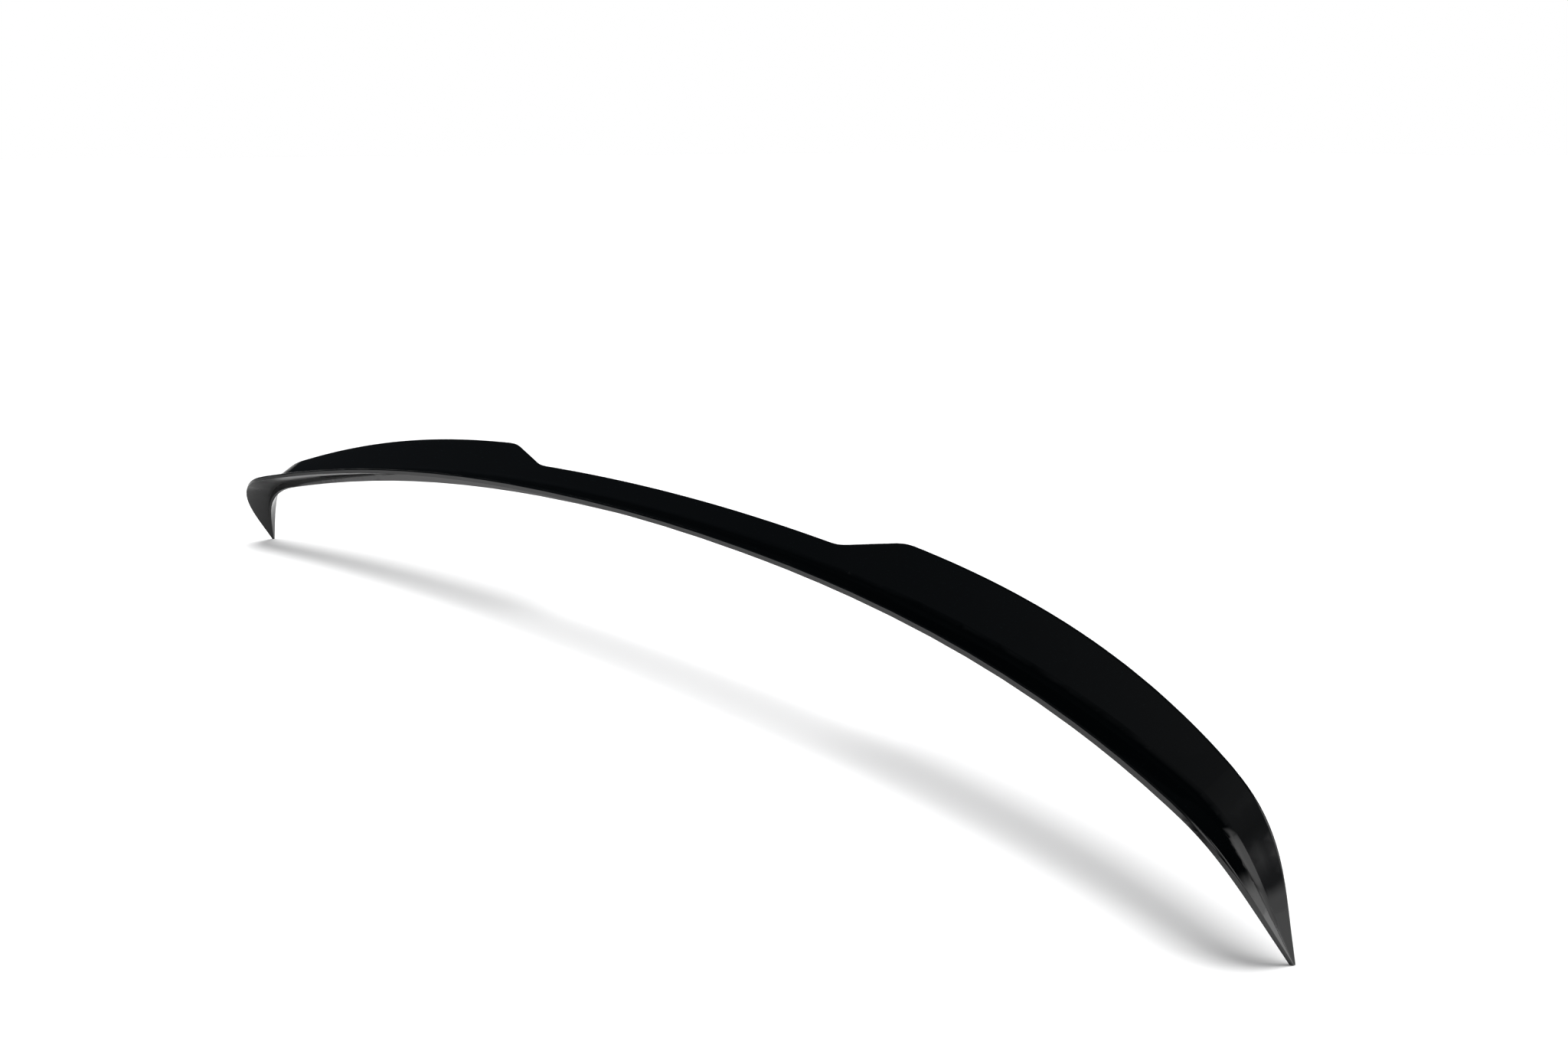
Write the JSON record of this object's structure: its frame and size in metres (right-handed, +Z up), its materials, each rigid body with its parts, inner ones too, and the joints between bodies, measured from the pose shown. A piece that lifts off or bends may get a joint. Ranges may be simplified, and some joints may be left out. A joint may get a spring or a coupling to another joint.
{
  "type": "rear spoiler lip",
  "caption": "Gloss black moulded rear spoiler lip with a low middle, taller winglets and pointed ends that wrap down the sides of the panel it is bonded to.",
  "frame": {"origin": "middle of the lip's front edge, on the surface of the panel it is bonded to", "axes": "X across the car with the middle plane at X = 0, +Y to the car's rear, +Z up"},
  "size_m": [1.2518, 0.1003, 0.1316],
  "materials": {
    "gloss_black": "gloss"
  },
  "bodies": {
    "root": {"lip": "gloss_black"}
  },
  "joints": []
}
